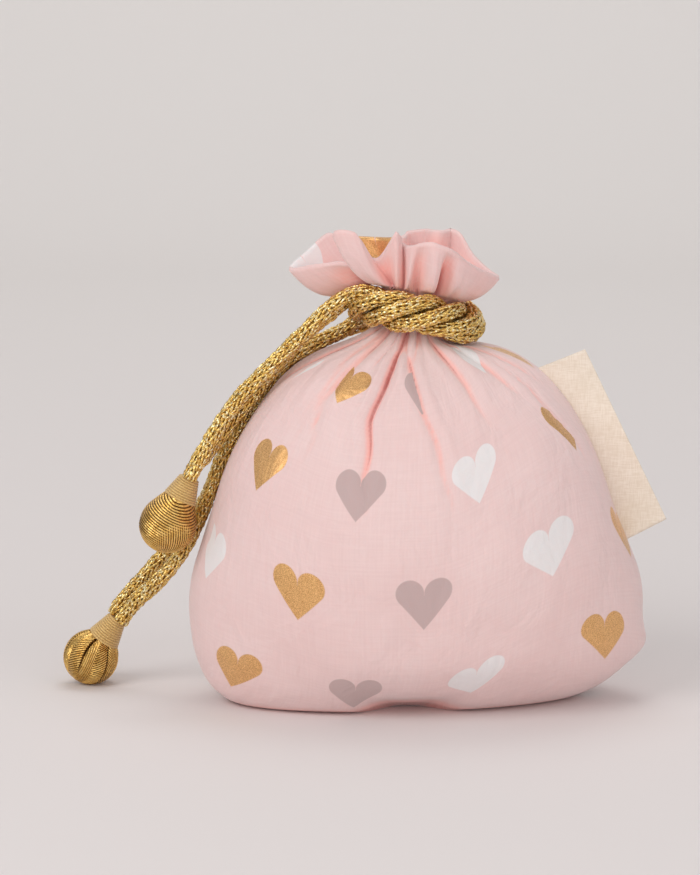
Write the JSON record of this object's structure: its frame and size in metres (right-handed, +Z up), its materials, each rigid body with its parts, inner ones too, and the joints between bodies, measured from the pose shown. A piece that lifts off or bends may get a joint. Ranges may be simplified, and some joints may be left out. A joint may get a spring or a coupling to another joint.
{
  "type": "drawstring gift bag",
  "caption": "Soft cotton pouch standing on its base, gathered to a neck below a flared ruffle and tied with gold drawstrings that end in cloth balls, with a blank side tab.",
  "frame": {"origin": "middle of the flattened base, on the surface that the bag stands on, below the neck", "axes": "+Z up through the neck, -Y out of the front face, +X towards the side with the tab"},
  "size_m": [0.1897, 0.0912, 0.148],
  "materials": {
    "printed_cotton": "matte plain-weave cotton, pale pink with scattered hearts",
    "label_cotton": "matte cream cotton tape, unprinted",
    "gold_knit": "knitted metallic gold yarn, glittering",
    "collar_thread": "silky pale gold thread, closely wound",
    "ball_cloth": "fine-ribbed antique gold metallic cloth"
  },
  "bodies": {
    "root": {"pouch": "printed_cotton", "side_label": "label_cotton", "cord_upper_front": "gold_knit", "cord_upper_back": "gold_knit", "cord_lower_front": "gold_knit", "cord_lower_back": "gold_knit", "collar_upper": "collar_thread", "collar_lower": "collar_thread", "ball_upper": "ball_cloth", "ball_lower": "ball_cloth"}
  },
  "joints": []
}
